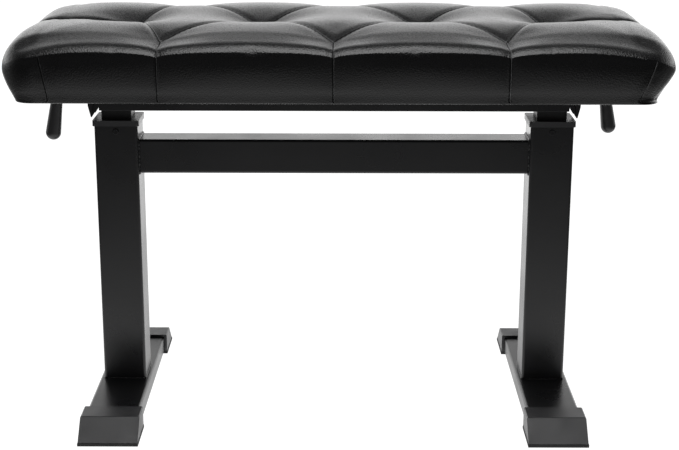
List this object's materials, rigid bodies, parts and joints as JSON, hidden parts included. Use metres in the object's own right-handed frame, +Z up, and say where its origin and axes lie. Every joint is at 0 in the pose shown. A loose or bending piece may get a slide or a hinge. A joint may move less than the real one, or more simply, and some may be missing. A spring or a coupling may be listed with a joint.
{
  "type": "piano bench",
  "caption": "Height-adjustable piano bench: a tufted leatherette seat on telescoping gas-lift columns with release levers, a crossbar and capped feet.",
  "frame": {"origin": "on the floor at the centre of the bench's outline", "axes": "+X along the seat's width to the bench's right as seen from the front, +Y to the back, +Z up"},
  "size_m": [0.704, 0.348, 0.46],
  "materials": {
    "black_powder_coat": "satin",
    "cap_plastic": "satin",
    "grip_plastic": "satin",
    "black_screw": "satin",
    "zinc_steel": "satin",
    "chrome_rod": "polished",
    "plywood": "matte",
    "foam": "matte",
    "black_leatherette": "satin",
    "dust_cloth": "matte",
    "tuft_thread": "matte"
  },
  "bodies": {
    "base": {"foot_tube_left": "black_powder_coat", "foot_tube_right": "black_powder_coat", "foot_cap_front_left": "cap_plastic", "foot_cap_front_right": "cap_plastic", "foot_cap_rear_left": "cap_plastic", "foot_cap_rear_right": "cap_plastic", "column_tube_left": "black_powder_coat", "column_tube_right": "black_powder_coat", "crossbar_tube": "black_powder_coat", "guide_bush_left": "cap_plastic", "guide_bush_right": "cap_plastic", "guide_bush_screws": "black_screw", "cylinder_mount_left": "zinc_steel", "cylinder_mount_right": "zinc_steel", "mount_bolts": "zinc_steel", "gas_cylinder_left": "black_powder_coat", "gas_cylinder_right": "black_powder_coat"},
    "seat": {"gas_rod_left": "chrome_rod", "gas_rod_right": "chrome_rod", "inner_column_left": "black_powder_coat", "inner_column_right": "black_powder_coat", "column_head_left": "zinc_steel", "column_head_right": "zinc_steel", "lower_glide_left": "cap_plastic", "lower_glide_right": "cap_plastic", "cross_plate_left": "black_powder_coat", "cross_plate_right": "black_powder_coat", "lever_bracket_left": "black_powder_coat", "lever_bracket_right": "black_powder_coat", "pivot_pin_left": "zinc_steel", "pivot_pin_right": "zinc_steel", "rod_nuts": "zinc_steel", "seat_beam": "black_powder_coat", "plate_bolts": "zinc_steel", "tee_nuts": "zinc_steel", "pivot_clips": "zinc_steel", "seat_board": "plywood", "seat_foam": "foam", "seat_cover": "black_leatherette", "dust_cover": "dust_cloth", "cover_staples": "zinc_steel", "tuft_ties": "tuft_thread"},
    "left_lever": {"lever_arm_left": "black_powder_coat", "lever_grip_left": "grip_plastic"},
    "left_release_pin": {"release_pin_left": "zinc_steel"},
    "right_lever": {"lever_arm_right": "black_powder_coat", "lever_grip_right": "grip_plastic"},
    "right_release_pin": {"release_pin_right": "zinc_steel"}
  },
  "joints": [
    {"name": "seat_lift", "type": "slide", "parent": "base", "child": "seat", "axis": [0, 0, 1], "range_m": [0, 0.1]},
    {"name": "left_lever_pivot", "type": "hinge", "parent": "seat", "child": "left_lever", "pos_m": [-0.2775, 0, 0.362], "axis": [0, 1, 0], "range_deg": [0, 12], "stiffness_Nm_per_rad": 6, "springref_deg": -5.73},
    {"name": "right_lever_pivot", "type": "hinge", "parent": "seat", "child": "right_lever", "pos_m": [0.2775, 0, 0.362], "axis": [0, -1, 0], "range_deg": [0, 12], "stiffness_Nm_per_rad": 6, "springref_deg": -5.73},
    {"name": "left_release", "type": "slide", "parent": "seat", "child": "left_release_pin", "axis": [0, 0, -1], "range_m": [0, 0.0061]},
    {"name": "right_release", "type": "slide", "parent": "seat", "child": "right_release_pin", "axis": [0, 0, -1], "range_m": [0, 0.0061]}
  ],
  "couplings": [
    {"joint": "left_release", "follows": "left_lever_pivot", "m_per_rad": 0.029},
    {"joint": "right_release", "follows": "right_lever_pivot", "m_per_rad": 0.029}
  ]
}
